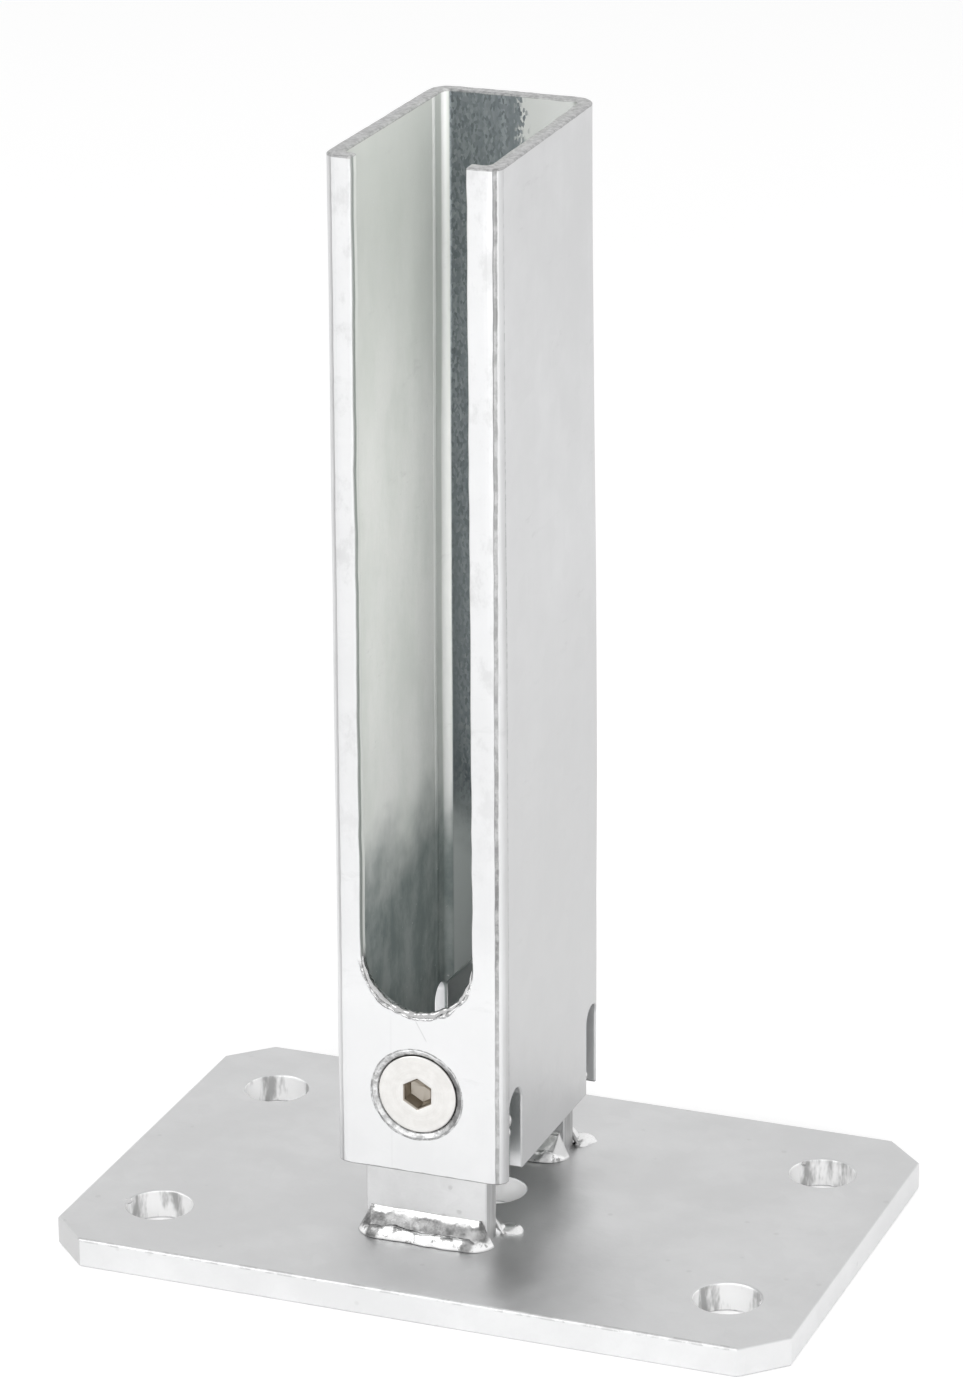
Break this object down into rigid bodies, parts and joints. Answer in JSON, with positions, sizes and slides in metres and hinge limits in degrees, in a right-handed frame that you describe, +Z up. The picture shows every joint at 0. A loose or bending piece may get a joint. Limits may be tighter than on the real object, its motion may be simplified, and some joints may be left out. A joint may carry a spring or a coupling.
{
  "type": "sloped fence post base plate",
  "caption": "Galvanised floor plate with welded lugs and a slotted post socket that tilts on countersunk screws, to stand a fence post upright on sloping ground.",
  "frame": {"origin": "middle of the base plate's underside, on the ground", "axes": "+Z up along the upright socket, X along the plate's long side and parallel to the slope that the socket makes up for, Y along its short side and along the tilt axis; the open slot of the socket faces -Y"},
  "size_m": [0.15, 0.098, 0.2205],
  "materials": {
    "galvanised_plate": "hot-dip galvanised, satin, softly mottled, with small drips of zinc",
    "galvanised_lug": "hot-dip galvanised flat bar, satin",
    "galvanised_weld": "hand-laid weld bead under zinc, rough and shiny",
    "galvanised_socket": "galvanised tube, satin outside, spangled and darker inside, rough grey cut edges",
    "stainless_screw": "stainless steel, satin turned head"
  },
  "bodies": {
    "base": {"base_plate": "galvanised_plate", "front_lug": "galvanised_lug", "rear_lug": "galvanised_lug", "front_outer_weld": "galvanised_weld", "front_inner_weld": "galvanised_weld", "rear_inner_weld": "galvanised_weld", "rear_outer_weld": "galvanised_weld", "front_screw": "stainless_screw", "rear_screw": "stainless_screw"},
    "socket": {"post_socket": "galvanised_socket"}
  },
  "joints": [
    {"name": "socket_tilt", "type": "hinge", "parent": "base", "child": "socket", "pos_m": [-0.005, 0, 0.037], "axis": [0, 1, 0], "range_deg": [-25, 25]}
  ]
}
